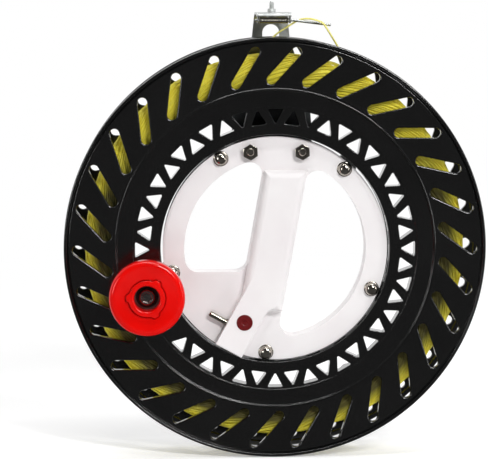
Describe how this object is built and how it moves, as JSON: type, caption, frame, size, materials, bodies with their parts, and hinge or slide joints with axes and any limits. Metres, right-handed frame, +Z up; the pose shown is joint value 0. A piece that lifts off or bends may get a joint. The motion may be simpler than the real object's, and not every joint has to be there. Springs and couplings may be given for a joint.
{
  "type": "kite line winder",
  "caption": "Hand-held kite line winder: a slotted spool wheel turns on bearings round a gripped hub, with a turning knob, a sliding lock and a line guide over the rim.",
  "frame": {"origin": "on the wheel's axis, midway between its two rims, inside the hand grip", "axes": "+Y along the wheel's axis away from the knob side, +Z up towards the line guide, +X to the right as seen from the knob side"},
  "size_m": [0.22, 0.0586, 0.2383],
  "materials": {
    "black_abs": "gloss black moulded ABS",
    "white_abs": "white moulded ABS, satin",
    "red_abs": "glossy red",
    "dark_red": "dark red cap",
    "kite_line": "lemon yellow braided line",
    "nickel": "nickel-plated steel",
    "zinc_steel": "zinc-plated steel",
    "bearing_steel": "ground bearing steel"
  },
  "bodies": {
    "hub": {"hub_front_shell": "white_abs", "hub_rear_shell": "white_abs", "hub_screws": "nickel", "hub_nuts": "nickel", "bearing_inner_races": "bearing_steel", "guide_bracket": "zinc_steel", "bracket_bolts": "nickel", "bracket_nuts": "nickel", "roller_holder": "zinc_steel", "guide_wire": "zinc_steel", "guide_screw": "nickel", "guide_screw_nut": "nickel", "lock_cap": "dark_red", "detent_ball": "bearing_steel", "detent_spring": "bearing_steel", "kite_line": "kite_line"},
    "wheel": {"front_disc": "black_abs", "rear_disc": "black_abs", "spool_core": "black_abs", "wheel_screws": "nickel", "line_winding": "kite_line", "knob_inner_races": "bearing_steel", "knob_sleeve": "nickel", "knob_washer": "nickel", "knob_bolt": "nickel", "knob_nut": "nickel"},
    "knob": {"knob_body": "red_abs", "knob_ring": "red_abs", "knob_outer_races": "bearing_steel"},
    "roller": {"guide_roller": "zinc_steel"},
    "lock": {"lock_bolt": "zinc_steel", "lock_lever": "nickel"},
    "bearing_1": {"bearing_outer_race_1": "bearing_steel"},
    "bearing_2": {"bearing_outer_race_2": "bearing_steel"},
    "bearing_3": {"bearing_outer_race_3": "bearing_steel"},
    "bearing_4": {"bearing_outer_race_4": "bearing_steel"},
    "bearing_5": {"bearing_outer_race_5": "bearing_steel"}
  },
  "joints": [
    {"name": "wheel_spin", "type": "hinge", "parent": "hub", "child": "wheel", "pos_m": [0, 0, 0], "axis": [0, 1, 0], "continuous": true},
    {"name": "knob_spin", "type": "hinge", "parent": "wheel", "child": "knob", "pos_m": [-0.06676, -0.03, -0.02169], "axis": [0, 1, 0], "continuous": true},
    {"name": "roller_spin", "type": "hinge", "parent": "hub", "child": "roller", "pos_m": [-0.001, -0.0124, 0.1186], "axis": [1, 0, 0], "continuous": true},
    {"name": "lock_slide", "type": "slide", "parent": "hub", "child": "lock", "axis": [-0.4848, 0, -0.8746], "range_m": [0, 0.01]},
    {"name": "bearing_spin_1", "type": "hinge", "parent": "hub", "child": "bearing_1", "pos_m": [0.05063, -0.002, -0.02149], "axis": [0, 1, 0], "continuous": true},
    {"name": "bearing_spin_2", "type": "hinge", "parent": "hub", "child": "bearing_2", "pos_m": [0.03608, -0.002, 0.04151], "axis": [0, 1, 0], "continuous": true},
    {"name": "bearing_spin_3", "type": "hinge", "parent": "hub", "child": "bearing_3", "pos_m": [-0.02833, -0.002, 0.04714], "axis": [0, 1, 0], "continuous": true},
    {"name": "bearing_spin_4", "type": "hinge", "parent": "hub", "child": "bearing_4", "pos_m": [-0.05359, -0.002, -0.01237], "axis": [0, 1, 0], "continuous": true},
    {"name": "bearing_spin_5", "type": "hinge", "parent": "hub", "child": "bearing_5", "pos_m": [-0.00479, -0.002, -0.05479], "axis": [0, 1, 0], "continuous": true}
  ],
  "couplings": [
    {"joint": "bearing_spin_1", "follows": "wheel_spin", "ratio": 9.4692},
    {"joint": "bearing_spin_2", "follows": "wheel_spin", "ratio": 9.4692},
    {"joint": "bearing_spin_3", "follows": "wheel_spin", "ratio": 9.4692},
    {"joint": "bearing_spin_4", "follows": "wheel_spin", "ratio": 9.4692},
    {"joint": "bearing_spin_5", "follows": "wheel_spin", "ratio": 9.4692}
  ]
}
